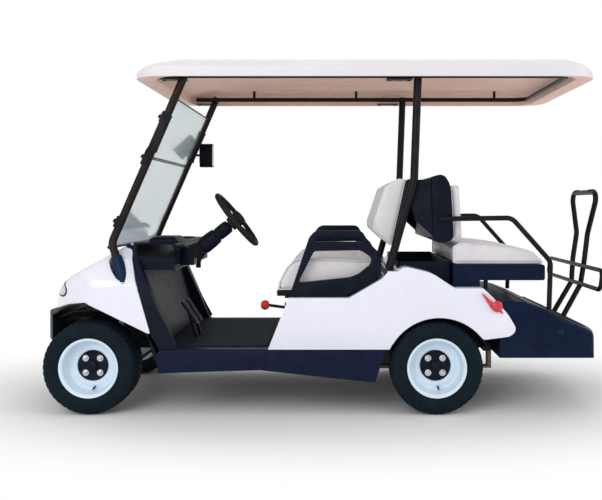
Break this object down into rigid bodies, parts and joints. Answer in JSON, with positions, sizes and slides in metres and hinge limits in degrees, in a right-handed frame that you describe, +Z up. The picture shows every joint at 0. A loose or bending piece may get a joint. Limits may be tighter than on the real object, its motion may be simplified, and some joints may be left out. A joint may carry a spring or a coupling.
{
  "type": "golf cart",
  "caption": "Golf cart with two bench seats back to back, a roof on struts, windscreen, steered front wheels, rear footrest and bag rack.",
  "frame": {"origin": "on the ground below the middle of the bounding box", "axes": "+X forward, +Y to the driver's left, +Z up"},
  "size_m": [2.946, 1.2, 1.776],
  "materials": {
    "white_body": "smooth glossy white",
    "roof_white": "satin white",
    "black_plastic": "fine grained black",
    "seat_cover": "soft white vinyl",
    "black_steel": "black powder coat",
    "motor_case": "dark paint",
    "battery_case": "plain dark",
    "screen": "lightly tinted clear sheet",
    "lamp_red": "clear red lens",
    "wheel_white": "white paint",
    "tyre_rubber": "matt black rubber"
  },
  "bodies": {
    "chassis": {"front_cowl": "white_body", "rear_body": "white_body", "roof": "roof_white", "floor_tray": "black_plastic", "rocker_panels": "black_plastic", "dash_console": "black_plastic", "rear_deck": "black_plastic", "front_bumper": "black_plastic", "bagwell": "black_plastic", "rear_backrest_shell": "black_plastic", "front_backrest_shell": "black_plastic", "front_armrests": "black_plastic", "rear_seat_pan": "black_plastic", "strut_pods": "black_plastic", "wheel_wells": "black_plastic", "side_mirror": "black_plastic", "steering_column": "black_plastic", "pedals": "black_plastic", "front_backrest_cushion": "seat_cover", "rear_backrest_cushion": "seat_cover", "rear_seat_cushion": "seat_cover", "front_struts": "black_steel", "mid_struts": "black_steel", "roof_rails": "black_steel", "rear_armrests": "black_steel", "rack_frame": "black_steel", "rack_rails": "black_steel", "chassis_frame": "black_steel", "front_axle_beam": "black_steel", "rear_axle": "black_steel", "rear_springs": "black_steel", "seat_hinge": "black_steel", "drive_motor": "motor_case", "battery_pack": "battery_case", "windshield_lower": "screen", "windshield_upper": "screen", "tail_lights": "lamp_red"},
    "knuckle_left": {"knuckle_left": "black_steel"},
    "knuckle_right": {"knuckle_right": "black_steel"},
    "tie_rod": {"tie_rod": "black_steel"},
    "steering_wheel": {"steering_wheel": "black_plastic"},
    "front_seat": {"front_seat_base": "black_plastic", "front_seat_cushion": "seat_cover"},
    "wheel_front_left": {"tyre_front_left": "tyre_rubber", "wheel_front_left": "wheel_white"},
    "wheel_front_right": {"tyre_front_right": "tyre_rubber", "wheel_front_right": "wheel_white"},
    "wheel_rear_left": {"tyre_rear_left": "tyre_rubber", "wheel_rear_left": "wheel_white"},
    "wheel_rear_right": {"tyre_rear_right": "tyre_rubber", "wheel_rear_right": "wheel_white"}
  },
  "joints": [
    {"name": "knuckle_left_steer", "type": "hinge", "parent": "chassis", "child": "knuckle_left", "pos_m": [1.128, 0.325, 0.2295], "axis": [0, 0, 1], "range_deg": [-28, 28]},
    {"name": "knuckle_right_steer", "type": "hinge", "parent": "chassis", "child": "knuckle_right", "pos_m": [1.128, -0.325, 0.2295], "axis": [0, 0, 1], "range_deg": [-28, 28]},
    {"name": "tie_rod_swing", "type": "hinge", "parent": "knuckle_left", "child": "tie_rod", "pos_m": [1.018, 0.325, 0.166], "axis": [0, 0, 1], "range_deg": [-28, 28]},
    {"name": "steering_wheel_turn", "type": "hinge", "parent": "chassis", "child": "steering_wheel", "pos_m": [0.44, 0.28, 0.95], "axis": [-0.7815, 0, 0.6239], "range_deg": [-336, 336]},
    {"name": "front_seat_tilt", "type": "hinge", "parent": "chassis", "child": "front_seat", "pos_m": [0.178, 0, 0.552], "axis": [0, 1, 0], "range_deg": [0, 60]},
    {"name": "wheel_front_left_spin", "type": "hinge", "parent": "knuckle_left", "child": "wheel_front_left", "pos_m": [1.128, 0.475, 0.2295], "axis": [0, 1, 0], "continuous": true},
    {"name": "wheel_front_right_spin", "type": "hinge", "parent": "knuckle_right", "child": "wheel_front_right", "pos_m": [1.128, -0.475, 0.2295], "axis": [0, 1, 0], "continuous": true},
    {"name": "wheel_rear_left_spin", "type": "hinge", "parent": "chassis", "child": "wheel_rear_left", "pos_m": [-0.572, 0.475, 0.2295], "axis": [0, 1, 0], "continuous": true},
    {"name": "wheel_rear_right_spin", "type": "hinge", "parent": "chassis", "child": "wheel_rear_right", "pos_m": [-0.572, -0.475, 0.2295], "axis": [0, 1, 0], "continuous": true}
  ],
  "couplings": [
    {"joint": "knuckle_right_steer", "follows": "knuckle_left_steer", "ratio": 1},
    {"joint": "tie_rod_swing", "follows": "knuckle_left_steer", "ratio": -1},
    {"joint": "steering_wheel_turn", "follows": "knuckle_left_steer", "ratio": 12}
  ]
}
